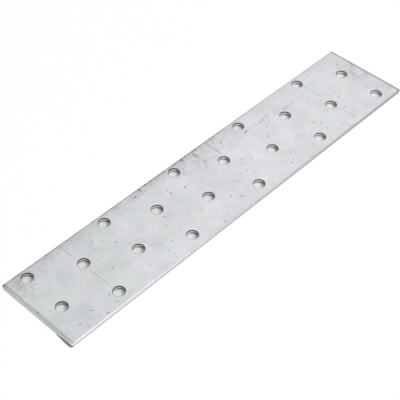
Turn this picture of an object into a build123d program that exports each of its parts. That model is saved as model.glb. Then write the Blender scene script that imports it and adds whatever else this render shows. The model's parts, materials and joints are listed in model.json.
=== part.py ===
from build123d import *

import os

# A mending plate: one strip of galvanised steel sheet, punched with staggered rows of
# nail holes, that is nailed or screwed across a timber joint to hold it together.
#
# Millimetres. The strip lies flat on its underside as it would on a bench, with its
# length along X, its width along Y and the side that the punch entered facing up.
# The origin is on the underside, below the middle of the strip.

# The strip, cut to length from a coil whose holes were already punched
length = 199.4
width = 40.0
thickness = 2.0
corner_radius = 0.6  # the four sheared corners, with the sharp point taken off

# Its sheared edges, from the top down: a rolled top, an upright land, a torn lower part
edge_roll_width = 0.9  # how far in from the edge the blade drew the face down
edge_roll_depth = 0.3  # and how deep, where the upright land begins
edge_torn_share = 0.4  # the part of the thickness that broke instead of being cut
edge_torn_lean = 0.12  # how far the torn part leans in by the underside

# The nail holes, each cut by a round punch from above
hole_diameter = 5.0
mouth_width = 0.45  # how far round the hole the punch drew the face down
mouth_depth = 0.25  # and how deep, where the upright wall begins
hole_torn_share = 0.35  # the part of the thickness that broke out below the punch
hole_torn_growth = 0.12  # how much the radius has grown by the underside

# A roll or a mouth is a gentle slope, then a steep one. They meet at a knee, at this
# share of the roll's width from the wall, and at this share of its depth.
knee_place = 0.35
knee_depth = 0.3

# The hole pattern: rows run along the strip, stations across it. A hole stands at
# every second crossing, so that no nail follows another along the same grain.
station_pitch = 20.0
row_pitch = 10.0
end_web = 6.6  # metal between the -X end and the first station's holes
side_web = 1.6  # metal between the +Y edge and the first row's holes
least_web = 1.5  # the least metal that may stand between a hole and an end or edge

# The most of the cut part of a wall that a roll may take up
most_of_wall = 0.9


def copies_that_fit(room, pitch):
    """How many copies stand in the room that their centres have, at this pitch."""
    return int(room // pitch) + 1


def hole_centres():
    """The centre of each hole, station by station from the -X end."""
    radius = hole_diameter / 2
    stations = copies_that_fit(length - end_web - least_web - hole_diameter, station_pitch)
    rows = copies_that_fit(width - side_web - least_web - hole_diameter, row_pitch)
    first_x = -length / 2 + end_web + radius
    first_y = width / 2 - side_web - radius
    return [
        (first_x + station * station_pitch, first_y - row * row_pitch)
        for station in range(stations)
        for row in range(rows)
        if (station + row) % 2 == 0
    ]


def outline_at(height, inset):
    """The strip's outline at this height, this far inside its edges."""
    return Pos(0, 0, height) * RectangleRounded(
        length - 2 * inset, width - 2 * inset, corner_radius
    )


def sheared_strip():
    """The strip as the shear leaves it, before its holes: a skin over its outlines."""
    torn_height = thickness * edge_torn_share
    roll = min(edge_roll_depth, most_of_wall * (thickness - torn_height))
    outlines = [
        outline_at(0, edge_torn_lean),
        outline_at(torn_height, 0),
        outline_at(thickness - roll, 0),
        outline_at(thickness - knee_depth * roll, knee_place * edge_roll_width),
        outline_at(thickness, edge_roll_width),
    ]
    return loft(outlines, ruled=True)


def punched_space():
    """The space of one hole at the origin: a drawn-down mouth, a wall, a wider breakout."""
    radius = hole_diameter / 2
    torn_height = thickness * hole_torn_share
    mouth = min(mouth_depth, most_of_wall * (thickness - torn_height))
    half_section = Polyline(
        (0, thickness),
        (0, 0),
        (radius + hole_torn_growth, 0),
        (radius, torn_height),
        (radius, thickness - mouth),
        (radius + knee_place * mouth_width, thickness - knee_depth * mouth),
        (radius + mouth_width, thickness),
        close=True,
    )
    return revolve(Plane.XZ * make_face(half_section), Axis.Z)


def mending_plate():
    """The finished plate: the sheared strip less the space of each hole."""
    space = punched_space()
    return sheared_strip() - [Pos(x, y) * space for x, y in hole_centres()]


os.makedirs("parts", exist_ok=True)
plate = mending_plate()
plate.label = "mending_plate"
export_step(plate, "parts/mending_plate.step")
print(f"{len(hole_centres())} holes, {plate.volume:.1f} cubic mm")
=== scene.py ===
# %% [markdown]
# # A galvanised mending plate
# One strip of 2 mm zinc-coated steel sheet, punched with staggered rows of nail holes.
# It bridges a joint between two timbers and is nailed to both. This lesson dresses the
# measured model of it: a plate with real sheared edges and punched holes, a zinc skin,
# bare cut steel inside the holes, and a plain white bench with studio light.
#
# The measured model comes first, because everything else takes its place from it.

# %% Load the measured model
import json
import math

import bpy
from mathutils import Matrix, Vector


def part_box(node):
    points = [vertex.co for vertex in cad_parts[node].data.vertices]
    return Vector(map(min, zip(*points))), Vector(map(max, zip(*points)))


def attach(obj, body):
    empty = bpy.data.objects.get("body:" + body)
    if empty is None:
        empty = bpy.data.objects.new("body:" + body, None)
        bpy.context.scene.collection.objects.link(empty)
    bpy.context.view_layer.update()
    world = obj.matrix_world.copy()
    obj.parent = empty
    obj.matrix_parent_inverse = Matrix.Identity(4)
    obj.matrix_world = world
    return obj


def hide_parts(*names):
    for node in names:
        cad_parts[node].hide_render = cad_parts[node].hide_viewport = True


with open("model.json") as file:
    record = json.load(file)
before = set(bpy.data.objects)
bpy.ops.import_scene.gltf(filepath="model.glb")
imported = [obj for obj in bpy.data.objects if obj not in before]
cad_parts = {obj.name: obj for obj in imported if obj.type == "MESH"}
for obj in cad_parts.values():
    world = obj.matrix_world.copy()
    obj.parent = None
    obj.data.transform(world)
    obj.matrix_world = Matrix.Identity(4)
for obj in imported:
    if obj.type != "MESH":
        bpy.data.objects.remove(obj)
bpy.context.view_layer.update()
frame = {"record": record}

MM = 0.001
low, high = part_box("mending_plate")
length, width, thickness = high - low
print(f"plate {length / MM:.1f} x {width / MM:.1f} x {thickness / MM:.1f} mm")

# %% [markdown]
# The nail holes are in the record as bores. They stand on a lattice of stations along
# the strip and rows across it, and fill every second crossing. Reading the pitches and
# the first crossing from the record keeps the visible holes where nails really pass.

# %% Read the hole lattice
bores = [mount for mount in frame["record"]["mounts"] if mount["kind"] == "bore"]
station_places = sorted({round(bore["pos_m"][0], 5) for bore in bores})
row_places = sorted({round(bore["pos_m"][1], 5) for bore in bores})
stations, rows = len(station_places), len(row_places)
station_pitch = station_places[1] - station_places[0]
row_pitch = row_places[1] - row_places[0]
hole_radius = bores[0]["dims"]["r_mm"] * MM
first_crossing = Vector((station_places[0], row_places[0]))
starts_with_hole = any(
    (Vector(bore["pos_m"][:2]) - first_crossing).length < MM for bore in bores
)
print(f"{len(bores)} holes on {stations} stations by {rows} rows")

# %% [markdown]
# A node tree is a page of arithmetic, and it reads best as arithmetic. A Wire is one
# socket that can be added, multiplied or compared like a number: each sign makes the
# Math node for it and links it up. The same few lines serve the shape and the finishes.


# %% Wires: node arithmetic that reads like a formula
def feed(socket, value):
    """Links a wire into the socket, or sets the socket to a plain value."""
    if isinstance(value, Wire):
        value.tree.links.new(value.socket, socket)
    elif value is not None:
        socket.default_value = value


class Wire:
    """A value that runs through a node tree."""

    def __init__(self, tree, socket):
        self.tree, self.socket = tree, socket

    def math(self, operation, *others):
        node = self.tree.nodes.new("ShaderNodeMath")
        node.operation = operation
        for socket, value in zip(node.inputs, (self, *others)):
            feed(socket, value)
        return Wire(self.tree, node.outputs[0])

    def __add__(self, other):
        return self.math("ADD", other)

    def __sub__(self, other):
        return self.math("SUBTRACT", other)

    def __mul__(self, other):
        return self.math("MULTIPLY", other)

    def __truediv__(self, other):
        return self.math("DIVIDE", other)

    def __gt__(self, other):
        return self.math("GREATER_THAN", other)

    def __lt__(self, other):
        return self.math("LESS_THAN", other)

    __radd__ = __add__
    __rmul__ = __mul__

    def flipped(self):
        """One minus the wire, so a mask becomes its opposite."""
        return self * -1.0 + 1.0

    def ramp(self, start, end, low=0.0, high=1.0, smooth=False):
        """Runs from low to high as the wire runs from start to end, and stays there."""
        node = self.tree.nodes.new("ShaderNodeMapRange")
        node.interpolation_type = "SMOOTHSTEP" if smooth else "LINEAR"
        names = ("Value", "From Min", "From Max", "To Min", "To Max")
        for name, value in zip(names, (self, start, end, low, high)):
            feed(node.inputs[name], value)
        return Wire(self.tree, node.outputs["Result"])

    def parts(self):
        """The three numbers of a vector."""
        node = self.tree.nodes.new("ShaderNodeSeparateXYZ")
        feed(node.inputs[0], self)
        return [Wire(self.tree, socket) for socket in node.outputs]


print("wires add, multiply, compare and ramp")

# %% [markdown]
# Every other node is placed by its kind, with its settings and its inputs by name. A
# group is a small tree with named inputs that is built once and used with other values
# each time, and these helpers start one and place one.


# %% Nodes and groups
FLOAT, INTEGER, VECTOR = "NodeSocketFloat", "NodeSocketInt", "NodeSocketVector"
GEOMETRY, MATERIAL = "NodeSocketGeometry", "NodeSocketMaterial"


def place_node(tree, kind, inputs=None, **settings):
    """A node with its settings and its named inputs filled in."""
    node = tree.nodes.new(kind)
    for name, value in settings.items():
        setattr(node, name, value)
    for name, value in (inputs or {}).items():
        feed(node.inputs[name], value)
    return node


def vector(tree, x, y, z):
    """One vector from three numbers."""
    node = place_node(tree, "ShaderNodeCombineXYZ", {"X": x, "Y": y, "Z": z})
    return Wire(tree, node.outputs[0])


def new_group(kind, name, inputs, outputs):
    """An empty node group with named sockets, and wires that start at its inputs."""
    tree = bpy.data.node_groups.new(name, kind)
    for label, socket_type, value in inputs:
        item = tree.interface.new_socket(label, in_out="INPUT", socket_type=socket_type)
        if value is not None:
            item.default_value = value
    for label, socket_type in outputs:
        tree.interface.new_socket(label, in_out="OUTPUT", socket_type=socket_type)
    source = tree.nodes.new("NodeGroupInput")
    sink = tree.nodes.new("NodeGroupOutput")
    wires = {s.name: Wire(tree, s) for s in source.outputs if s.name}
    return tree, wires, sink


def use_group(tree, group, inputs):
    """Places a group in a tree, fills in its inputs, and gives a wire for each output."""
    kind = {"GEOMETRY": "GeometryNodeGroup", "SHADER": "ShaderNodeGroup"}[group.type]
    node = place_node(tree, kind, node_tree=group)
    for name, value in inputs.items():
        feed(node.inputs[name], value)
    return {s.name: Wire(tree, s) for s in node.outputs}


print("groups can be started and placed")

# %% [markdown]
# Both a punched hole and a rounded corner turn a square of grid cells into something
# round. One formula does it: pushing each coordinate in by the other lays every square
# ring of the grid on a circle. As a group it is built once and used for both.

# %% A group that turns squares into discs
square_to_disc, wires, sink = new_group(
    "GeometryNodeTree",
    "Square to Disc",
    [("U", FLOAT, 0.0), ("V", FLOAT, 0.0)],
    [("U", FLOAT), ("V", FLOAT)],
)
u, v = wires["U"], wires["V"]
half = 0.5
feed(sink.inputs["U"], u * (v * v * -half + 1.0).math("SQRT"))
feed(sink.inputs["V"], v * (u * u * -half + 1.0).math("SQRT"))
print("group", square_to_disc.name)

# %% [markdown]
# The plan of the sheet is a rule, not a drawing. A flat grid is counted in cells, and
# each count has a place: cells are fine where a hole may stand, coarse in the web
# between, and fine again in the corners. Along one axis the rule finds the nearest
# crossing of the lattice, the ring of cells round it, and how far out that ring lies.

# %% Where the cells lie along one axis
rim_cells = 8  # from the middle of a hole to its rim, so a rim has 64 edges
web_cells = {"x": 6, "y": 3}  # from a rim to the middle of the web beside it
corner_cells = 4

SIZES = [
    ("Length", FLOAT, length),
    ("Width", FLOAT, width),
    ("First Station", FLOAT, station_places[0]),
    ("First Row", FLOAT, row_places[0]),
    ("Station Pitch", FLOAT, station_pitch),
    ("Row Pitch", FLOAT, row_pitch),
    ("Stations", INTEGER, stations),
    ("Rows", INTEGER, rows),
]


def along(count, cells, first, pitch, copies, extent, rim, inset, corner):
    """Where the cells lie along one axis: how far, which crossing, and in which ring."""
    period = 2 * (rim_cells + cells)
    crossing = (count / period).math("ROUND").math("MAXIMUM", 0.0)
    crossing = crossing.math("MINIMUM", copies - 1.0)
    local = count - crossing * period
    ring = local.math("ABSOLUTE")
    side = local.math("SIGN")
    middle = first + crossing * pitch
    to_edge = extent * half - (middle * side) - inset - corner
    to_middle = pitch * half
    past_ends = (count < 0.0) + (count > (copies - 1.0) * period)
    room = past_ends * to_edge + past_ends.flipped() * to_middle
    reach = rim * ring.ramp(0, rim_cells)
    reach += (room - rim) * ring.ramp(rim_cells, rim_cells + cells)
    turned = ring.ramp(rim_cells + cells, rim_cells + cells + corner_cells)
    return middle, crossing, local, side, reach, turned


print(f"a hole may take {2 * rim_cells} by {2 * rim_cells} cells")

# %% [markdown]
# The plan joins the two axes. Round each hole the square rings of cells are laid on
# circles, which fade back to squares within the web, and at the corners of the strip
# they are laid on the corner's radius. The same rule with another rim radius or another
# inset gives the underside and every level between, so the levels always fit each other.

# %% A group that says where each cell of the sheet lies
fade_cells = 3  # the rings in which circles turn back to squares
plan, wires, sink = new_group(
    "GeometryNodeTree",
    "Sheet Plan",
    SIZES
    + [
        ("Cell", VECTOR, None),
        ("Rim", FLOAT, 3.0 * MM),
        ("Inset", FLOAT, 0.0),
        ("Corner", FLOAT, 0.5 * MM),
    ],
    [("X", FLOAT), ("Y", FLOAT), ("Ring", FLOAT), ("Holed", FLOAT)],
)
rim, inset, corner = wires["Rim"], wires["Inset"], wires["Corner"]
cell_x, cell_y, _ = wires["Cell"].parts()
middle_x, station, local_x, side_x, reach_x, turned_x = along(
    cell_x, web_cells["x"], wires["First Station"], wires["Station Pitch"],
    wires["Stations"], wires["Length"], rim, inset, corner,
)
middle_y, row, local_y, side_y, reach_y, turned_y = along(
    cell_y, web_cells["y"], wires["First Row"], wires["Row Pitch"],
    wires["Rows"], wires["Width"], rim, inset, corner,
)
rounded = use_group(plan, square_to_disc, {"U": turned_x, "V": turned_y})
square_x = middle_x + side_x * (reach_x + rounded["U"] * corner)
square_y = middle_y + side_y * (reach_y + rounded["V"] * corner)

ring = local_x.math("ABSOLUTE").math("MAXIMUM", local_y.math("ABSOLUTE"))
safe_ring = ring.math("MAXIMUM", half)
disc = use_group(
    plan, square_to_disc, {"U": local_x / safe_ring, "V": local_y / safe_ring}
)
parity = station + row + (0.0 if starts_with_hole else 1.0)
holed = parity.math("MODULO", 2.0) < half
roundness = holed * ring.ramp(rim_cells, rim_cells + fade_cells, 1.0, 0.0)
circle_x = middle_x + rim * disc["U"]
circle_y = middle_y + rim * disc["V"]
feed(sink.inputs["X"], square_x + roundness * (circle_x - square_x))
feed(sink.inputs["Y"], square_y + roundness * (circle_y - square_y))
feed(sink.inputs["Ring"], ring)
feed(sink.inputs["Holed"], holed)
print("group", plan.name, "with", len(plan.nodes), "nodes")

# %% [markdown]
# Shears and punches leave the same section: the tool first draws the face down in a
# soft roll, then cuts an upright, burnished land, and the rest of the thickness tears.
# It could be a profile swept along each edge, but twenty holes and four sides would
# then have to meet the face cell by cell. So one tree grows the whole plate, and these
# sizes are its inputs.

# %% The tree of the plate: its sizes
strip, given, sink = new_group(
    "GeometryNodeTree",
    "Punched Strip",
    SIZES
    + [
        ("Thickness", FLOAT, thickness),
        ("Corner Radius", FLOAT, 0.3 * MM),
        ("Roll Corner Radius", FLOAT, 0.15 * MM),
        ("Roll Width", FLOAT, 0.9 * MM),
        ("Roll Depth", FLOAT, 0.3 * MM),
        ("Edge Torn Height", FLOAT, 0.8 * MM),
        ("Edge Torn Lean", FLOAT, 0.12 * MM),
        ("Hole Radius", FLOAT, hole_radius),
        ("Mouth Width", FLOAT, 0.45 * MM),
        ("Mouth Depth", FLOAT, 0.25 * MM),
        ("Hole Torn Height", FLOAT, 0.7 * MM),
        ("Hole Torn Growth", FLOAT, 0.12 * MM),
        ("Tear Roughness", FLOAT, 0.05 * MM),
        ("Waviness", FLOAT, 0.03 * MM),
        ("Seed", FLOAT, 4.0),
        ("Zinc", MATERIAL, None),
        ("Cut Steel", MATERIAL, None),
    ],
    [("Plate", GEOMETRY)],
)


def node(kind, inputs=None, **settings):
    """A node of this tree."""
    return place_node(strip, kind, inputs, **settings)


def named(label, data_type):
    """An attribute that the mesh carries."""
    reader = node("GeometryNodeInputNamedAttribute", {"Name": label}, data_type=data_type)
    return Wire(strip, reader.outputs["Attribute"])


def noise(size, seed_shift=0.0):
    """Soft random values about 0, with blobs about this size."""
    texture = node(
        "ShaderNodeTexNoise",
        {"Scale": 1.0 / size, "W": given["Seed"] + seed_shift, "Detail": 2.0},
        noise_dimensions="4D",
    )
    return Wire(strip, texture.outputs[0]) - half


print("tree", strip.name, "takes", len(given), "inputs")

# %% [markdown]
# Each vertex carries its cell count as an attribute, so that the plan can be asked for
# its place again at every level, however often it has been moved or extruded.


# %% The tree: cells, places and one skin
def store(mesh, label, value, selection=None, domain="POINT", data_type="FLOAT"):
    """The mesh with this attribute on it."""
    keeper = node("GeometryNodeStoreNamedAttribute", domain=domain, data_type=data_type)
    feed(keeper.inputs["Geometry"], mesh)
    feed(keeper.inputs["Name"], label)
    feed(keeper.inputs["Value"], value)
    feed(keeper.inputs["Selection"], selection)
    return Wire(strip, keeper.outputs["Geometry"])


def level_plan(rim, inset, corner):
    """The plan of one level of the plate."""
    inputs = {label: given[label] for label, *_ in SIZES}
    inputs.update({"Cell": named("cell", "FLOAT_VECTOR"), "Rim": rim})
    inputs.update({"Inset": inset, "Corner": corner})
    return use_group(strip, plan, inputs)


def move(mesh, place, height, selection=None):
    """Lays the vertices where the plan has them, at this height."""
    mover = node("GeometryNodeSetPosition")
    feed(mover.inputs["Geometry"], mesh)
    feed(mover.inputs["Position"], vector(strip, place["X"], place["Y"], height))
    feed(mover.inputs["Selection"], selection)
    return Wire(strip, mover.outputs["Geometry"])


def cell_grid():
    """A flat grid that counts its own cells from the first crossing of the lattice."""
    ends = {axis: rim_cells + web_cells[axis] + corner_cells for axis in "xy"}
    spans = {axis: 2 * (rim_cells + web_cells[axis]) for axis in "xy"}
    across = (stations - 1) * spans["x"] + 2 * ends["x"]
    up = (rows - 1) * spans["y"] + 2 * ends["y"]
    sizes = {"Size X": float(across), "Size Y": float(up)}
    sizes.update({"Vertices X": across + 1, "Vertices Y": up + 1})
    grid = Wire(strip, node("GeometryNodeMeshGrid", sizes).outputs["Mesh"])
    x, y, _ = Wire(strip, node("GeometryNodeInputPosition").outputs[0]).parts()
    x, y = x + (across * half - ends["x"]), y + (up * half - ends["y"])
    return store(grid, "cell", vector(strip, x, y, 0.0), data_type="FLOAT_VECTOR")


def sheet(rim, inset, corner, height):
    """One skin of the plate, with its holes open."""
    place = level_plan(rim, inset, corner)
    cut = node("GeometryNodeDeleteGeometry", domain="FACE")
    feed(cut.inputs["Geometry"], cell_grid())
    feed(cut.inputs["Selection"], place["Holed"] * (place["Ring"] < float(rim_cells)))
    return move(Wire(strip, cut.outputs[0]), place, height)


print("a skin can be laid at any height")

# %% [markdown]
# The plate is built downwards. The free edges of the top skin are extruded level by
# level, with no offset, and each level then asks the plan for its own outline. Every
# new vertex notes its level, and whether it belongs to a hole, for the finishes later.
# The level is 0 on the face, 1 at the foot of the roll, 2 at the foot of the land, and
# 3 at the foot of the plate.


# %% The tree: one level down
roll_foot, land_foot, upper_tear, lower_tear, plate_foot = 1.0, 2.0, 2.4, 2.7, 3.0
open_edge_faces = 1.5  # a free edge has one face, so fewer than this


def next_level(mesh, rim, inset, corner, hole_height, edge_height, level):
    """Extrudes the free edges and lays the new ones where this level has them."""
    faces = Wire(strip, node("GeometryNodeInputMeshEdgeNeighbors").outputs[0])
    extrude = node("GeometryNodeExtrudeMesh", {"Offset Scale": 0.0}, mode="EDGES")
    feed(extrude.inputs["Mesh"], mesh)
    feed(extrude.inputs["Selection"], faces < open_edge_faces)
    top, side = (Wire(strip, extrude.outputs[name]) for name in ("Top", "Side"))
    place = level_plan(rim, inset, corner)
    at_hole = place["Holed"] * (place["Ring"] < rim_cells + half)
    height = edge_height + at_hole * (hole_height - edge_height)
    mesh = move(Wire(strip, extrude.outputs["Mesh"]), place, height, top)
    mesh = store(mesh, "bored", at_hole, top)
    return store(mesh, "level", level, top), side


print("a skin can grow downwards")

# %% [markdown]
# The roll is a quarter of an ellipse, wide and shallow. It starts at the rim of the top
# skin and ends upright, at the land. It could be six levels one after the other, but a
# Repeat zone runs one level six times, which keeps the tree small.

# %% The tree: top skin and rolls
roll_steps = 6
roll_corner = given["Roll Corner Radius"]
top_skin = sheet(
    given["Hole Radius"] + given["Mouth Width"], given["Roll Width"], roll_corner,
    given["Thickness"],
)
repeat_in = node("GeometryNodeRepeatInput", {"Iterations": roll_steps})
repeat_out = node("GeometryNodeRepeatOutput")
repeat_in.pair_with_output(repeat_out)
feed(repeat_in.inputs["Geometry"], top_skin)
turn = Wire(strip, repeat_in.outputs["Iteration"]) + 1.0
angle = turn * (math.pi / 2 / roll_steps)
across = angle.math("SINE").flipped()
down = angle.math("COSINE").flipped()
rolled, _ = next_level(
    Wire(strip, repeat_in.outputs["Geometry"]),
    given["Hole Radius"] + across * given["Mouth Width"],
    across * given["Roll Width"],
    given["Corner Radius"] + across * (roll_corner - given["Corner Radius"]),
    given["Thickness"] - down * given["Mouth Depth"],
    given["Thickness"] - down * given["Roll Depth"],
    turn / roll_steps,
)
feed(repeat_out.inputs["Geometry"], rolled)
mesh = Wire(strip, repeat_out.outputs["Geometry"])
print("rolls in", roll_steps, "steps")

# %% [markdown]
# Below the roll the cut is upright down to a line that wavers, and from there the steel
# tore: it leans inwards and is rough. Four more levels make the foot of the land, two
# rough rings and the foot of the plate. Their faces are marked as cut, for the steel.

# %% The tree: the land and the torn part
tear_grain, tear_line_wave = 0.35 * MM, 2.5 * MM
cut_levels = (
    # level, share of the torn height, share of the lean, roughness, waver
    (land_foot, 1.0, 0.0, 0.0, 0.5),
    (upper_tear, 0.66, 0.3, 1.0, 0.0),
    (lower_tear, 0.33, 0.6, 1.0, 0.0),
    (plate_foot, 0.0, 1.0, 0.0, 0.0),
)
for level, share, lean, roughness, waver in cut_levels:
    rough = given["Tear Roughness"] * roughness * (noise(tear_grain) + half)
    height_share = noise(tear_line_wave, seed_shift=level) * waver + share
    mesh, side = next_level(
        mesh,
        given["Hole Radius"] + given["Hole Torn Growth"] * lean + rough,
        given["Edge Torn Lean"] * lean + rough,
        given["Corner Radius"],
        given["Hole Torn Height"] * height_share,
        given["Edge Torn Height"] * height_share,
        level,
    )
    mesh = store(mesh, "cut", True, side, "FACE", "BOOLEAN")
print(len(cut_levels), "levels of cut steel")

# %% [markdown]
# The underside is a second skin on the same plan, turned over and welded on. Rolled
# sheet is never quite flat, so last of all the top dips a little, and only ever inwards,
# so that the dressed plate is never larger than the measured one.

# %% The tree: underside and hollows
weld_gap, hollow_size, hollow_seed = 0.001 * MM, 22 * MM, 9.0
flip = node("GeometryNodeFlipFaces")
bottom_skin = sheet(
    given["Hole Radius"] + given["Hole Torn Growth"], given["Edge Torn Lean"],
    given["Corner Radius"], 0.0,
)
feed(flip.inputs["Mesh"], bottom_skin)
underside = store(Wire(strip, flip.outputs[0]), "level", plate_foot)
join = node("GeometryNodeJoinGeometry")
for skin in (mesh, underside):
    strip.links.new(skin.socket, join.inputs[0])
weld = node("GeometryNodeMergeByDistance", {"Distance": weld_gap})
feed(weld.inputs["Geometry"], Wire(strip, join.outputs[0]))

*_, z = Wire(strip, node("GeometryNodeInputPosition").outputs[0]).parts()
hollow = (noise(hollow_size, seed_shift=hollow_seed) + half) * given["Waviness"]
dip = hollow * (z / given["Thickness"])
settle = node("GeometryNodeSetPosition")
feed(settle.inputs["Geometry"], Wire(strip, weld.outputs[0]))
feed(settle.inputs["Offset"], vector(strip, 0.0, 0.0, dip * -1.0))
print("the plate is closed")

# %% [markdown]
# Smooth shading rounds the rolls, but the line where roll meets land has to stay crisp,
# so every edge that bends more than 35 degrees is marked sharp. The zinc goes on all
# faces, and the bare steel then goes on those that were marked as cut.

# %% The tree: shading and finishes
sharp_angle = math.radians(35)
edge_angle = Wire(strip, node("GeometryNodeInputMeshEdgeAngle").outputs[0])
smooth = node("GeometryNodeSetShadeSmooth", domain="FACE")
feed(smooth.inputs[0], Wire(strip, settle.outputs[0]))
crease = node("GeometryNodeSetShadeSmooth", {"Shade Smooth": False}, domain="EDGE")
feed(crease.inputs[0], Wire(strip, smooth.outputs[0]))
feed(crease.inputs["Selection"], edge_angle > sharp_angle)
realize = node("GeometryNodeRealizeInstances")
feed(realize.inputs[0], Wire(strip, crease.outputs[0]))
coat = node("GeometryNodeSetMaterial")
feed(coat.inputs["Geometry"], Wire(strip, realize.outputs[0]))
feed(coat.inputs["Material"], given["Zinc"])
bare = node("GeometryNodeSetMaterial")
feed(bare.inputs["Geometry"], Wire(strip, coat.outputs[0]))
feed(bare.inputs["Selection"], named("cut", "BOOLEAN"))
feed(bare.inputs["Material"], given["Cut Steel"])
feed(sink.inputs["Plate"], Wire(strip, bare.outputs[0]))
print("tree", strip.name, "with", len(strip.nodes), "nodes")

# %% [markdown]
# Finishes work in millimetres on Object coordinates, so a grain stays where it is on the
# plate however the plate is turned. Some effects are used many times, or by the zinc and
# by the bare steel, so they are groups. The first one makes soft patches of any size.

# %% Shader group: soft patches
patches, wires, sink = new_group(
    "ShaderNodeTree",
    "Soft Patches",
    [("Place", VECTOR, None), ("Size", FLOAT, 10.0), ("Detail", FLOAT, 3.0),
     ("Shift", FLOAT, 0.0)],
    [("Value", FLOAT)],
)
texture = place_node(
    patches, "ShaderNodeTexNoise",
    {"Vector": wires["Place"], "Detail": wires["Detail"], "W": wires["Shift"]},
    noise_dimensions="4D",
)
feed(texture.inputs["Scale"], wires["Size"].math("POWER", -1.0))
usual_low, usual_high = 0.38, 0.62  # most of the noise lies between these
patch_value = Wire(patches, texture.outputs[0]).ramp(usual_low, usual_high, -1.0, 1.0)
feed(sink.inputs["Value"], patch_value)
print("group", patches.name)

# %% [markdown]
# A scratch is a thin, long streak. Noise that is stretched eighty times along one
# direction makes streaks, and only its highest crests are kept, so that they stay apart.
# How rare a crest has to be and the direction are inputs, because handling scratches
# cross the face at all angles, while short ticks are thicker and lie closer together.

# %% Shader group: streaks
streaks, wires, sink = new_group(
    "ShaderNodeTree",
    "Streaks",
    [("Place", VECTOR, None), ("Turn", FLOAT, 0.0), ("Length", FLOAT, 12.0),
     ("Thickness", FLOAT, 0.15), ("Rarity", FLOAT, 0.7), ("Shift", FLOAT, 0.0)],
    [("Mask", FLOAT)],
)
turned = place_node(
    streaks, "ShaderNodeVectorRotate",
    {"Vector": wires["Place"], "Angle": wires["Turn"]}, rotation_type="Z_AXIS",
)
x, y, z = Wire(streaks, turned.outputs[0]).parts()
run, breadth = wires["Length"], wires["Thickness"]
texture = place_node(
    streaks, "ShaderNodeTexNoise",
    {"Vector": vector(streaks, x / run, y / breadth, z / run), "Scale": 1.0,
     "Detail": 1.0, "W": wires["Shift"]},
    noise_dimensions="4D",
)
crest_rise = 0.06
crest = Wire(streaks, texture.outputs[0])
feed(sink.inputs["Mask"], crest.ramp(wires["Rarity"], wires["Rarity"] + crest_rise))
print("group", streaks.name)

# %% [markdown]
# Pits are small round craters where the zinc gassed or a grain of dirt was pressed in.
# Each Voronoi cell may hold one: the cell's own random colour decides whether it does
# and how large it is.

# %% Shader group: pits
pits, wires, sink = new_group(
    "ShaderNodeTree",
    "Pits",
    [("Place", VECTOR, None), ("Spacing", FLOAT, 6.0), ("Radius", FLOAT, 0.35),
     ("Share", FLOAT, 0.4)],
    [("Mask", FLOAT)],
)
cells = place_node(
    pits, "ShaderNodeTexVoronoi", {"Vector": wires["Place"]}, voronoi_dimensions="2D",
)
feed(cells.inputs["Scale"], wires["Spacing"].math("POWER", -1.0))
smallest_pit, flat_until, gone_at = 0.35, 0.45, 1.1
chance, size, _ = Wire(pits, cells.outputs["Color"]).parts()
radius = wires["Radius"] / wires["Spacing"] * size.ramp(0.0, 1.0, smallest_pit, 1.0)
distance = Wire(pits, cells.outputs["Distance"]) / radius
crater = distance.ramp(flat_until, gone_at, 1.0, 0.0)
feed(sink.inputs["Mask"], crater * (chance < wires["Share"]))
print("group", pits.name)

# %% [markdown]
# Some marks have a place of their own: the fine lines that the press left across the
# strip, a few deep pits, smears of grime by one edge, and painted shade by the near back
# corner. A mark is a soft-edged bar with a middle, a half length, a half width and a turn.
# One group draws a bar, and a list places them.

# %% Shader group: one mark
mark, wires, sink = new_group(
    "ShaderNodeTree",
    "Mark",
    [("Place", VECTOR, None), ("X", FLOAT, 0.0), ("Y", FLOAT, 0.0), ("Turn", FLOAT, 0.0),
     ("Half Length", FLOAT, 1.0), ("Half Width", FLOAT, 0.2), ("Strength", FLOAT, 1.0)],
    [("Mask", FLOAT)],
)
x, y, _ = wires["Place"].parts()
x, y = x - wires["X"], y - wires["Y"]
cosine, sine = wires["Turn"].math("COSINE"), wires["Turn"].math("SINE")
along_bar = (x * cosine + y * sine) / wires["Half Length"]
across_bar = (y * cosine - x * sine) / wires["Half Width"]
blunt = (along_bar * along_bar).math("POWER", 2.0) + across_bar * across_bar
full_until = 0.2
bar_mask = blunt.ramp(full_until, 1.0, 1.0, 0.0, smooth=True)
feed(sink.inputs["Mask"], bar_mask * wires["Strength"])
print("group", mark.name)

# %% [markdown]
# Both metals start in the same way, with a Principled shader and the place on the plate
# in millimetres. Their colours are built up in thin layers, each mixed over the last.


# %% Finishes: a start, a mix and a patch
def finish(name):
    """A new material with its Principled shader and the place on the plate in mm."""
    material = bpy.data.materials.new(name)
    material.use_nodes = True
    tree = material.node_tree
    shader = tree.nodes["Principled BSDF"]
    source = place_node(tree, "ShaderNodeTexCoord")
    scale = place_node(tree, "ShaderNodeMapping", {"Scale": (1 / MM,) * 3})
    feed(scale.inputs["Vector"], Wire(tree, source.outputs["Object"]))
    return material, tree, shader, Wire(tree, scale.outputs[0])


def grey(value):
    """A neutral colour."""
    return (value, value, value, 1.0)


def mixed(factor, first, second):
    """A colour that goes from the first to the second as the factor goes from 0 to 1."""
    node = place_node(factor.tree, "ShaderNodeMix", data_type="RGBA")
    sockets = (node.inputs[0], node.inputs[6], node.inputs[7])
    for socket, value in zip(sockets, (factor, first, second)):
        feed(socket, value)
    return Wire(factor.tree, node.outputs[2])


def patch(place, size, shift):
    """Soft patches of this size in mm, from -1 to 1. The shift gives other patches."""
    inputs = {"Place": place, "Size": size, "Shift": shift}
    return use_group(place.tree, patches, inputs)["Value"]


print("finishes can be mixed")
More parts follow.
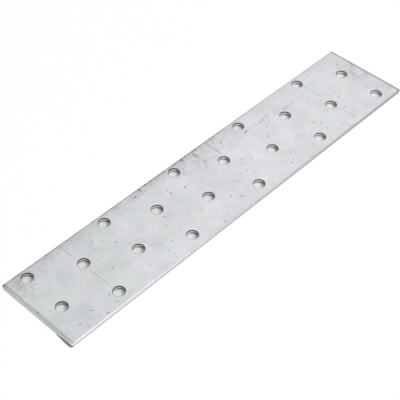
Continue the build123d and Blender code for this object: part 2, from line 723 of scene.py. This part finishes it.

# %% [markdown]
# The zinc skin is metal, so its colour is what it reflects: a pale, slightly blue grey.
# It is palest from the middle of the strip on and along the front, which is painted light
# and shade for how the room lights the face. It froze in crystals and cooled unevenly, so
# the tone wanders in patches of every size, and a few patches have a faint tint. Each is
# faint, because a strong pattern would look like camouflage.

# %% Zinc: the colour of the coat
zinc, tree, shader, place = finish("zinc_skin")
x, y, _ = place.parts()
half_length, half_width = length * half / MM, width * half / MM

cool_zinc, pale_zinc = (0.602, 0.626, 0.639, 1.0), (0.707, 0.715, 0.74, 1.0)
# painted light and shade: paler towards the middle and the front, for how the room lights the
# face
painted_light_to_middle = x.ramp(-half_length, half_length * 0.35)
painted_light_to_front = y.ramp(half_width, -half_width, 0.0, 0.35)
cloudy = patch(place, size=26.0, shift=2.0) * 0.15
paleness_and_painted_light = (painted_light_to_middle + painted_light_to_front + cloudy).ramp(0.0, 1.0)
colour = mixed(paleness_and_painted_light, cool_zinc, pale_zinc)

green, rose, straw = (0.50, 0.68, 0.60, 1.0), (0.76, 0.62, 0.72, 1.0), (0.72, 0.70, 0.56, 1.0)
tint_strength = 0.085
for size, shift, tint in ((9.0, 8.0, green), (11.0, 11.0, rose), (7.0, 15.0, straw)):
    tinted = patch(place, size, shift).ramp(0.0, 1.0, 0.0, tint_strength)
    colour = mixed(tinted, colour, tint)
print("zinc colour set")

# %% [markdown]
# The tone is a number near 1 that makes the colour a little darker or brighter. The
# crystals each have one of their own, and four sizes of patches are laid over them.

# %% Zinc: the tone of the coat
crystal_size, darkest_crystal, brightest_crystal = 4.5, 0.975, 1.02
crystals = place_node(
    tree, "ShaderNodeTexVoronoi", {"Vector": place, "Scale": 1 / crystal_size},
    voronoi_dimensions="2D",
)
crystal, *_ = Wire(tree, crystals.outputs["Color"]).parts()
tone = crystal.ramp(0.0, 1.0, darkest_crystal, brightest_crystal)
small = patch(place, size=2.2, shift=5.0)
for value, strength in (
    (patch(place, size=14.0, shift=21.0), 0.03),
    (patch(place, size=5.0, shift=23.0), 0.018),
    (small, 0.02),
    (patch(place, size=0.8, shift=27.0), 0.015),
):
    tone += value * strength
print("zinc tone set")

# %% [markdown]
# Handling leaves hair-fine scratches at every angle, and short ticks that gather in
# places. Small pits are scattered over the whole face, and where the zinc was rubbed
# against other strips there are bright specks. Ticks and specks show more and more
# towards the far end.


# %% Zinc: scratches, ticks and specks
def strongest(masks):
    """The largest of several masks, at each point."""
    first, *others = masks
    for other in others:
        first = first.math("MAXIMUM", other)
    return first


def lines(turn, shift, **sizes):
    """Streaks on the zinc that run in one direction."""
    inputs = {"Place": place, "Turn": turn, "Shift": shift, **sizes}
    return use_group(tree, streaks, inputs)["Mask"]


def dots(**sizes):
    """Pits on the zinc."""
    return use_group(tree, pits, {"Place": place, **sizes})["Mask"]


scratches = strongest(
    lines(turn, shift, Rarity=rarity)
    for turn, shift, rarity in ((0.3, 1.0, 0.66), (1.2, 4.0, 0.68), (2.3, 7.0, 0.67))
)
ticks = strongest(
    lines(turn, shift, Length=1.5, Thickness=0.28, Rarity=0.655)
    for turn, shift in ((0.9, 12.0), (2.6, 17.0), (1.9, 22.0))
)
gathered = patch(place, size=7.0, shift=41.0).ramp(0.0, 0.8, 0.2, 1.0)
ticks = ticks * gathered * x.ramp(-half_length, half_length, 0.9, 2.0)
specks = dots(Spacing=4.0, Share=0.4)
sparks = dots(Spacing=1.9, Radius=0.3, Share=0.35)
tone += sparks * x.ramp(-half_length, half_length, 0.03, 0.1)
print("fine wear set")

# %% [markdown]
# The marks with a place of their own follow: press lines across the strip, dashes and
# scribbles, deep pits, and one dark spot of painted shadow by the near back corner. Each
# row is one mark: the place of its middle and its half sizes in mm, its turn in degrees
# and its strength.

# %% Zinc: the list of marks
marks_and_painted_spot = [
    # press lines across the strip: x, y, half length, half width, turn, strength
    (-71.2, 14.2, 5.6, 0.16, 90, 0.6),
    (-72.0, 15.4, 4.0, 0.13, 90, 0.35),
    (-71.2, -3.8, 6.8, 0.16, 90, 0.5),
    (-46.0, -5.0, 8.0, 0.16, 90, 0.25),
    (-43.0, -11.5, 4.0, 0.2, 90, 0.2),
    (-16.1, -12.5, 5.0, 0.18, 90, 0.25),
    (3.0, 17.0, 2.4, 0.4, 90, 0.4),
    (11.7, 14.6, 5.8, 0.17, 90, 0.8),
    (14.6, 17.8, 2.2, 0.15, 90, 0.25),
    (70.7, 7.5, 6.0, 0.3, 90, 0.3),
    (70.4, -12.5, 6.0, 0.2, 90, 0.45),
    # dashes and scribbles
    (-94.4, 16.5, 1.1, 0.35, 60, 0.28),
    (-62.4, 13.0, 0.9, 0.22, -60, 0.35),
    (-60.9, 12.0, 1.3, 0.22, 50, 0.35),
    (-61.4, 11.2, 1.1, 0.22, 10, 0.45),
    (-57.2, 8.6, 1.6, 0.2, -45, 0.35),
    (-54.4, 4.8, 0.8, 0.35, -40, 0.6),
    (-84.0, -13.6, 1.1, 0.3, -50, 0.55),
    (-74.5, -17.2, 0.9, 0.25, -50, 0.45),
    (-67.8, -17.6, 2.3, 0.16, 25, 0.45),
    (-53.4, -13.2, 1.2, 0.25, 80, 0.35),
    (-17.8, 15.6, 0.9, 0.22, 70, 0.45),
    (-16.2, 16.1, 1.2, 0.2, 10, 0.45),
    (-20.0, 8.6, 1.0, 0.35, 80, 0.8),
    (-20.5, 10.5, 0.6, 0.35, 60, 0.5),
    (-17.5, -6.5, 3.5, 0.2, 35, 0.3),
    (3.4, 11.6, 1.4, 0.3, -35, 0.55),
    (29.1, 11.3, 1.1, 0.35, 20, 0.6),
    (29.9, 11.0, 0.9, 0.3, 80, 0.5),
    (30.2, 7.4, 1.2, 0.22, 60, 0.4),
    (12.2, -1.0, 1.3, 0.2, 45, 0.35),
    (11.7, -4.7, 1.0, 0.28, 30, 0.45),
    (18.3, -1.7, 1.1, 0.3, 10, 0.4),
    (20.1, -5.4, 1.1, 0.2, -50, 0.35),
    (38.3, 11.1, 0.9, 0.35, 15, 0.7),
    (40.2, 11.2, 0.9, 0.5, 20, 0.45),
    (55.5, 9.1, 4.5, 0.18, 3, 0.35),
    (59.2, 9.4, 1.2, 0.25, 30, 0.5),
    (72.5, -9.5, 0.9, 0.4, -35, 0.5),
    (76.0, -4.0, 1.0, 0.3, 50, 0.35),
    # pits
    (-28.0, 18.6, 0.6, 1.0, 0, 0.6),
    (-24.3, 19.3, 0.6, 0.5, 0, 0.6),
    (-2.8, 18.8, 0.55, 0.5, 0, 0.85),
    (-31.8, 17.2, 0.45, 0.45, 0, 0.8),
    (-69.9, 16.2, 0.4, 0.45, 0, 0.5),
    (-74.5, 17.0, 0.4, 0.4, 0, 0.45),
    (-13.5, 6.7, 0.5, 0.45, 0, 0.9),
    (-8.0, 12.8, 0.45, 0.4, 0, 0.5),
    (-4.8, 5.2, 0.4, 0.4, 0, 0.45),
    (-31.4, 0.7, 0.7, 0.35, -30, 0.8),
    (-34.8, -3.3, 0.45, 0.4, 0, 0.45),
    (-31.4, -7.2, 0.45, 0.4, 0, 0.5),
    (-38.6, -10.8, 0.5, 0.4, 0, 0.6),
    (-42.8, -13.3, 0.45, 0.4, 0, 0.5),
    (-20.0, -4.9, 0.4, 0.35, 0, 0.5),
    (-4.2, -10.6, 0.45, 0.4, 0, 0.8),
    (-1.0, -13.8, 0.45, 0.45, 0, 0.8),
    (-16.2, -18.6, 0.45, 0.5, 0, 0.6),
    (-64.5, -4.0, 0.45, 0.4, 0, 0.6),
    (-60.2, -5.3, 0.4, 0.4, 0, 0.45),
    (-74.4, -12.8, 0.5, 0.45, 0, 0.6),
    (-91.5, -15.4, 0.5, 0.4, 0, 0.6),
    (-89.8, -18.0, 0.4, 0.4, 0, 0.5),
    (-80.7, -18.8, 0.5, 0.45, 0, 0.65),
    (-98.6, 0.1, 0.7, 0.5, 90, 0.4),
    (16.5, 14.2, 0.8, 0.35, 55, 0.6),
    (15.0, 1.3, 0.5, 0.4, 0, 0.6),
    (4.3, -6.7, 0.45, 0.4, 0, 0.6),
    (13.2, -8.2, 0.45, 0.4, 0, 0.5),
    (33.0, -11.3, 0.5, 0.45, 0, 0.8),
    (37.9, 6.8, 0.5, 0.4, 0, 0.65),
    (34.0, 2.3, 0.9, 0.55, 0, 0.4),
    (38.0, 3.3, 0.4, 0.4, 0, 0.45),
    (28.5, -16.0, 0.6, 0.5, 0, 0.45),
    (54.8, -6.3, 0.8, 0.35, -20, 0.6),
    (57.0, -8.4, 0.5, 0.4, 0, 0.75),
    (62.0, 2.2, 0.4, 0.7, 0, 0.45),
    (77.5, 16.0, 0.45, 0.4, 0, 0.55),
    (93.5, 11.6, 0.5, 0.5, 0, 0.6),
    (93.2, -1.1, 0.6, 0.5, 0, 0.6),
    # painted shadow: a dark spot by the near back corner
    (-99.3, 19.5, 1.1, 0.6, 0, 0.3),
]


def bar(place, row):
    """One row of a list as a mask on the face."""
    bar_x, bar_y, half_run, half_breadth, turn, strength = row
    inputs = {"Place": place, "X": bar_x, "Y": bar_y, "Turn": math.radians(turn)}
    inputs.update({"Half Length": half_run, "Half Width": half_breadth})
    inputs.update({"Strength": strength})
    return use_group(place.tree, mark, inputs)["Mask"]


marked_and_painted_spot = strongest(bar(place, row) for row in marks_and_painted_spot)
print(len(marks_and_painted_spot), "marks_and_painted_spot")

# %% [markdown]
# Grime gathers along one long edge, where the strip was held, and in a few soft stains.
# It is wide bars of the same group, broken up by the soft patches. Right at that edge
# dirt clings in small dark blots as well. One wide soft bar by the near back corner is
# painted shade, not a stain.

# %% Zinc: grime, stains and painted shade
held_band, blot_band, blot_rim = 7.0, 3.0, 0.6  # mm inside the back edge
to_dirty_edge = y.ramp(half_width - held_band, half_width, smooth=True)
worn_middle = x.ramp(-half_length, half_length * 0.6, 1.0, 0.35)
uneven = patch(place, size=5.0, shift=31.0).ramp(-1.0, 1.0, 0.45, 1.0)
grime_and_painted_shade = to_dirty_edge * worn_middle * uneven
to_rim = y.ramp(half_width - blot_band, half_width - blot_rim)
blots = to_rim * patch(place, size=1.3, shift=33.0).ramp(0.0, 0.9)
crowded = patch(place, size=6.0, shift=35.0).ramp(-0.5, 0.4, 0.0, 1.4)
grime_and_painted_shade += blots * worn_middle * crowded

stains_and_painted_shade = [
    # x, y, half length, half width, turn, strength
    # painted shade: the near back corner darker, for how the light falls there
    (-98.0, 17.0, 26.0, 20.0, 0, 0.7),
    (97.0, -4.0, 20.0, 9.0, 90, 1.0),
    (10.0, 15.0, 24.0, 8.0, 0, 1.1),
    (-28.0, 18.0, 7.0, 2.6, 0, 1.0),
    (-95.0, 17.0, 12.0, 7.0, 0, 0.4),
    (93.0, 2.5, 4.0, 2.6, 0, 0.7),
    (-20.0, 1.2, 1.8, 1.3, 0, 0.6),
    (-44.5, -7.2, 2.2, 1.2, -50, 0.7),
    (34.5, 11.5, 2.0, 1.4, 0, 0.8),
    (-8.0, 19.5, 17.0, 3.0, 0, 1.2),
    (-95.6, 12.5, 7.0, 4.0, 90, 0.6),
    (-49.1, -0.9, 4.0, 2.0, -40, 0.8),
    (-56.6, -6.4, 3.0, 2.4, 0, 0.4),
    (1.9, 12.6, 6.5, 4.5, 90, 0.5),
    (2.9, -4.4, 2.6, 2.0, 0, 0.5),
    (29.4, 10.6, 3.0, 1.2, 30, 0.6),
    (52.4, 9.1, 8.0, 1.6, -5, 0.7),
]
stain_strength = 0.6
broken = small.ramp(-0.6, 0.6, 0.25, 1.0)
for row in stains_and_painted_shade:
    grime_and_painted_shade += bar(place, row) * broken * stain_strength
print(len(stains_and_painted_shade), "stains_and_painted_shade")

# %% [markdown]
# The rolled edges get painted shade and a painted highlight. The plate carries two attributes
# for this: its level, from 0 on the face to 1 at the foot of the roll, and whether the roll
# is a hole's. The painted shade isn't even: the back roll is dark up to the middle, the front
# roll is dark only further on and has a painted highlight near the start, a thin dark line
# runs along the roll of each short end, and the mouths of the holes are dark.


# %% Zinc: rolled edges
def attribute(tree, name):
    """An attribute that the plate's mesh carries."""
    reader = place_node(tree, "ShaderNodeAttribute", attribute_name=name)
    return Wire(tree, reader.outputs["Fac"])


def stripe(distance, rise, fall):
    """A soft stripe that comes in over one stretch of a distance and goes over another."""
    return distance.ramp(*rise) * distance.ramp(*fall, 1.0, 0.0)


roll_band = 1.2  # a little more than a roll is wide, in mm
level, bored = attribute(tree, "level"), attribute(tree, "bored")
on_top = level < (roll_foot + land_foot) * half
outer_roll = bored.flipped() * on_top
back_edge, front_edge = y > half_width - roll_band, y < roll_band - half_width
# painted shade: darker rolls along the back, on the far half of the front and at the short
# ends
back_roll_shade = back_edge * x.ramp(-90, -40, 0.22, 0.27) * x.ramp(15, 50, 1.0, 0.35)
front_roll_shade = front_edge * (x.ramp(-60, 0, 0.0, 0.2) + x.ramp(20, 90, 0.0, 0.15))

from_start = x + half_length  # mm from the near short end
from_end = x * -1.0 + half_length  # mm from the far short end
near_line = stripe(from_start, rise=(0.1, 0.7), fall=(0.8, 1.6)) * 0.32
far_line = stripe(from_end, rise=(0.4, 0.9), fall=(1.1, 1.7)) * 0.45
painted_roll_shade = (level.ramp(0.0, 0.2) * back_roll_shade).math("MAXIMUM", near_line) * outer_roll
painted_roll_shade += level.ramp(0.1, 0.75) * outer_roll * front_roll_shade
painted_roll_shade += far_line * outer_roll
# painted shade: the mouths of the holes darker
mouth_shade = level.ramp(0.35, 0.7) * bored * on_top * 1.2
mouth_shade *= x.ramp(20.0, half_length, 1.0, 0.75)
# painted highlight: the front roll brighter near the start
painted_front_highlight = level.ramp(0.3, 0.7) * outer_roll * front_edge * x.ramp(-90.0, 0.0, 0.9, 0.15)
print("edge wear set")

# %% [markdown]
# The layers now come together. Everything dark, grime, marks and painted shade alike, is
# added up and mixes the colour towards one dark grey, while the painted highlight on the
# front roll mixes it towards a bright grey. Dark places are also rougher, and every mark
# and pit is pressed in a few hundredths of a millimetre, so that it catches the light as
# well.


# %% Zinc: the finished coat
def bump(height, distance):
    """Normals as if the surface rose by this distance where the height is 1."""
    node = place_node(height.tree, "ShaderNodeBump", {"Height": height})
    feed(node.inputs["Distance"], distance)
    return Wire(height.tree, node.outputs[0])


painted_highlight_grey, grime_and_shade_grey = (0.96, 0.965, 0.975, 1.0), (0.06, 0.063, 0.06, 1.0)
relief_depth = 0.03 * MM
dark = marked_and_painted_spot * 0.72 + specks * 0.3 + ticks * 0.2 + scratches * 0.22 + grime_and_painted_shade * 0.2
dark = (dark + painted_roll_shade + mouth_shade).ramp(0.0, 1.0)
colour = mixed(painted_front_highlight, colour, painted_highlight_grey)
colour = mixed(dark, colour, grime_and_shade_grey)
brightness = place_node(tree, "ShaderNodeHueSaturation", {"Value": tone, "Color": colour})
feed(shader.inputs["Base Color"], Wire(tree, brightness.outputs[0]))
shader.inputs["Metallic"].default_value = 1.0
roughness = small.ramp(-1.0, 1.0, 0.38, 0.46) + dark * 0.2 + level * on_top * 0.12
feed(shader.inputs["Roughness"], roughness)
relief = small * 0.2 - marked_and_painted_spot - specks * 0.6 - scratches * 0.3 - ticks * 0.2
feed(shader.inputs["Normal"], bump(relief, relief_depth))
print("material", zinc.name, "with", len(tree.nodes), "nodes")

# %% [markdown]
# Round the strip the shear laid the steel bare. Its land is painted pale at the start of
# the strip and darker towards the far end, and a middle grey across the short ends, as
# painted light and shade for how each side meets the light. Below it the metal tore, and
# that band is rough and darker, most of all on the back half. Low on the near end, by
# both corners, a near-black painted shadow is laid on the end face.

# %% Cut steel: the outer edges
cut_steel, tree, shader, place = finish("cut_steel")
x, y, z = place.parts()
level, bored = attribute(tree, "level"), attribute(tree, "bored")
torn = level.ramp(land_foot + 0.05, upper_tear)
painted_light_start, painted_shade_far = (0.90, 0.905, 0.915, 1.0), (0.38, 0.385, 0.39, 1.0)
end_face, near_end_face = 0.3, 0.7  # mm in from the ends, enough for their faces
at_ends = x.math("ABSOLUTE") > half_length - end_face
# painted light and shade: the outer land pale near the start, darker far on, and middle grey
# on the end faces
outer = mixed(x.ramp(-half_length, half_length), painted_light_start, painted_shade_far)
outer = mixed(at_ends * 0.9, outer, grey(0.60))
torn_edge = mixed(y.ramp(0.0, 8.0), grey(0.24), grey(0.05))
outer = mixed(torn * y.ramp(0.0, 8.0, 0.75, 1.0), outer, torn_edge)

by_front_corner = y.ramp(-10.0, -14.0, 0.0, 0.9)  # the height of the painted shadow, in mm
by_back_corner = y.ramp(17.5, 18.5, 0.0, 0.7)
corner_shadow_height = by_front_corner.math("MAXIMUM", by_back_corner)
at_near_end = x < near_end_face - half_length
# painted shadow: near black, low on the near end by both corners
painted_corner_shadow = at_near_end * (corner_shadow_height - z).ramp(0.0, 0.15)
outer = mixed(painted_corner_shadow, outer, grey(0.01))
print("outer edges set")

# %% [markdown]
# Inside the holes the punch burnished the land, which reflects the bench and the far
# wall; in the holes at the near end it is painted darker, as painted shade. A near-black
# seam of painted shade runs round it where the zinc ends, and the side of each wall that
# faces the near end gets painted shade. The torn band below is painted brighter towards
# the far end, as painted light. Which way a wall faces is read from its normal: two
# directions agree where their dot product is near 1.


# %% Cut steel: the hole walls
def agreement(direction, other):
    """How well a direction agrees with a fixed one, from -1 to 1."""
    node = place_node(direction.tree, "ShaderNodeVectorMath", operation="DOT_PRODUCT")
    feed(node.inputs[0], direction)
    feed(node.inputs[1], other.normalized())
    return Wire(direction.tree, node.outputs["Value"])


seam_shade_grey, dark_steel, brown_steel = grey(0.004), (0.18, 0.178, 0.175, 1.0), (0.2, 0.19, 0.18, 1.0)
# painted shade: the land darker in the holes at the near end
land = mixed(x.ramp(-85.0, -40.0), grey(0.70), grey(0.92))
# painted shade: a near-black seam under the mouth of each hole
below_seam = level.ramp(roll_foot + 0.2, roll_foot + 0.45)
inner = mixed(below_seam, seam_shade_grey, land)
outwards = Wire(tree, place_node(tree, "ShaderNodeTexCoord").outputs["Normal"])
# painted shade: the side of each wall that faces the near end
shaded_wall_side = Vector((-0.906, 0.423, 0.0))
painted_wall_shade = agreement(outwards, shaded_wall_side).ramp(0.4, 0.9, 0.0, 0.45)
inner = mixed(painted_wall_shade, inner, grey(0.02))
# painted light: the torn band brighter towards the far end
torn_steel_and_painted_light = mixed(x.ramp(0.0, half_length), dark_steel, grey(0.5))
inner = mixed(torn, inner, torn_steel_and_painted_light)

grain, drag = patch(place, size=0.5, shift=0.0), patch(place, size=0.3, shift=3.0)
colour = mixed(bored, outer, inner)
colour = mixed(grain.ramp(-1.0, 1.0, 0.0, 0.25), colour, brown_steel)
burnished_roughness, torn_roughness = 0.2, 0.6
feed(shader.inputs["Base Color"], colour)
shader.inputs["Metallic"].default_value = 1.0
roughness = torn.ramp(0.0, 1.0, burnished_roughness, torn_roughness)
feed(shader.inputs["Roughness"], roughness)
feed(shader.inputs["Normal"], bump(grain * torn + drag * 0.2, relief_depth))
print("material", cut_steel.name, "with", len(tree.nodes), "nodes")

# %% [markdown]
# Now the tree can run. A modifier's inputs are set by their identifiers. The evaluated
# result becomes a plain mesh and the modifier goes, so that what is left is a mesh like
# any other: one piece, at the origin, that stands for the plain model of the plate.

# %% Make the plate
plate = bpy.data.objects.new("punched_plate", bpy.data.meshes.new("punched_plate"))
bpy.context.scene.collection.objects.link(plate)
modifier = plate.modifiers.new("Punched Strip", "NODES")
modifier.node_group = strip
materials = {"Zinc": zinc, "Cut Steel": cut_steel}
for item in strip.interface.items_tree:
    if item.in_out == "INPUT" and item.name in materials:
        modifier[item.identifier] = materials[item.name]
evaluated = plate.evaluated_get(bpy.context.evaluated_depsgraph_get())
made = bpy.data.meshes.new_from_object(evaluated)
plate.modifiers.clear()
plate.data = made
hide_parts("mending_plate")
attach(plate, "root")
print(plate.name, "has", len(made.polygons), "faces")

# %% [markdown]
# The plate lies on white paper. The paper is white to the camera and to what the metal
# reflects, and keeps a breath of the plate's shadow. Under the plate it is plain matt
# paper, so that the light which falls through the holes, and the shadow of their walls,
# show as they would on a bench. A sliver of plain paper also lies past the near end, by
# the front corner, so that the plate's own shadow shows there.

# %% Bench
bench_size = 6.0
bench_gap = 0.01 * MM
bpy.ops.mesh.primitive_plane_add(size=bench_size, location=(0, 0, low.z - bench_gap))
bench = bpy.context.object
bench.name = "bench_paper"
paper, tree, shader, place = finish("white_paper")
shader.inputs["Base Color"].default_value = grey(0.9)
shader.inputs["Roughness"].default_value = 1.0
shader.inputs["Specular IOR Level"].default_value = 0.0

rim_margin = 0.5  # plain paper stops this far inside the plate's sides, in mm
x, y, _ = place.parts()
between_ends = x.math("ABSOLUTE") < half_length - rim_margin
between_sides = y.math("ABSOLUTE") < half_width - rim_margin
past_end = y.ramp(-17.0, -11.0, -0.6, 0.0)  # how far out the sliver lies, in mm
sliver = (x < 0.0) * (x > past_end - half_length) * (y < -11.0) * (y > 0.2 - half_width)
plain = (between_ends * between_sides).math("MAXIMUM", sliver)

path = place_node(tree, "ShaderNodeLightPath")
seen = strongest(
    Wire(tree, path.outputs[kind])
    for kind in ("Is Camera Ray", "Is Glossy Ray", "Is Transmission Ray")
)
whiteness = 0.97
glow = place_node(tree, "ShaderNodeEmission", {"Strength": 1.0})
blend = place_node(tree, "ShaderNodeMixShader")
feed(blend.inputs[0], seen * plain.flipped() * whiteness)
tree.links.new(shader.outputs[0], blend.inputs[1])
tree.links.new(glow.outputs[0], blend.inputs[2])
tree.links.new(blend.outputs[0], tree.nodes["Material Output"].inputs["Surface"])
bench.data.materials.append(paper)
print("bench under the plate at z =", low.z)

# %% [markdown]
# Metal shows the room more than the lamps. The room is a rule on the direction in which
# a mirror ray leaves. It is bright high up beyond the far end and the back, which is
# what the plate's face mirrors, and dimmer on the near side and by the horizon, which
# draws a darker line along each roll. One soft window on the front side lights the
# front roll. Matt things, here only the paper in the holes, get plain even light.

# %% Room light
world = bpy.data.worlds.new("studio")
bpy.context.scene.world = world
world.use_nodes = True
tree = world.node_tree
background = tree.nodes["Background"]
background.inputs["Color"].default_value = grey(1.0)
direction = Wire(tree, place_node(tree, "ShaderNodeTexCoord").outputs["Generated"])
bright_side, window_side = Vector((0.50, 0.42, 0.76)), Vector((0.40, -0.75, 0.45))
even_light, dimmest, brightest, window_light = 0.52, 0.45, 1.08, 1.4
*_, height = direction.parts()
above_horizon = height.ramp(0.0, 0.35, 0.35, 1.0, smooth=True)
sky = agreement(direction, bright_side).ramp(-0.3, 0.9, dimmest, brightest, smooth=True)
window = agreement(direction, window_side).ramp(0.6, 0.95, 0.0, window_light, smooth=True)
room = (sky * above_horizon).math("MAXIMUM", window)
path = place_node(tree, "ShaderNodeLightPath")
mirrored = Wire(tree, path.outputs["Is Glossy Ray"])
feed(background.inputs["Strength"], mirrored.ramp(0.0, 1.0, even_light, room))
print("room light set")

# %% [markdown]
# Two square panels stand on the front side: a lamp high up, which throws the shadow of
# each hole's wall on the paper inside it, and a low panel that softens those shadows.
# Metal doesn't mirror them, because the room already gives it its highlights.


# %% Lamps
def panel(name, place, size, power, aim):
    """A square light panel, with its place, size and aim in metres and power in watts."""
    data = bpy.data.lights.new(name, "AREA")
    data.size, data.energy = size, power
    lamp = bpy.data.objects.new(name, data)
    lamp.location = place
    lamp.rotation_euler = (Vector(aim) - Vector(place)).to_track_quat("-Z", "Y").to_euler()
    lamp.visible_glossy = False
    bpy.context.scene.collection.objects.link(lamp)
    return lamp


side_lamp = panel("side_lamp", (0.20, -0.50, 0.69), 0.34, 3.0, aim=(0.0, 0.0, 0.0))
front_panel = panel("front_panel", (0.13, -0.48, 0.31), 0.40, 1.6, aim=(-0.08, 0.0, 0.0))
print("lamps:", side_lamp.name, "and", front_panel.name)

# %% [markdown]
# The camera looks along the strip from above its near corner. Its place is given as an
# angle round the plate, a height angle and a distance, and it is tipped by half a
# degree. The long lens stands well back, so that the strip hardly narrows.

# %% Camera
view_angles = (-46.727, 45.999, 0.576)  # in degrees
azimuth, elevation, roll = (math.radians(angle) for angle in view_angles)
distance = 445.97 * MM
aim = Vector((-13.249 * MM, -1.699 * MM, 0.0))
data = bpy.data.cameras.new("camera")
data.sensor_width, data.lens = 36.0, 97.33
data.clip_start = 0.01
camera = bpy.data.objects.new("camera", data)
turn = (
    Matrix.Rotation(azimuth, 4, "Z")
    @ Matrix.Rotation(math.radians(90) - elevation, 4, "X")
    @ Matrix.Rotation(roll, 4, "Z")
)
camera.matrix_world = Matrix.Translation(aim) @ turn @ Matrix.Translation((0, 0, distance))
bpy.context.scene.collection.objects.link(camera)
bpy.context.scene.camera = camera
bpy.context.scene.view_settings.view_transform = "Standard"
print("camera", round(data.lens, 1), "mm")
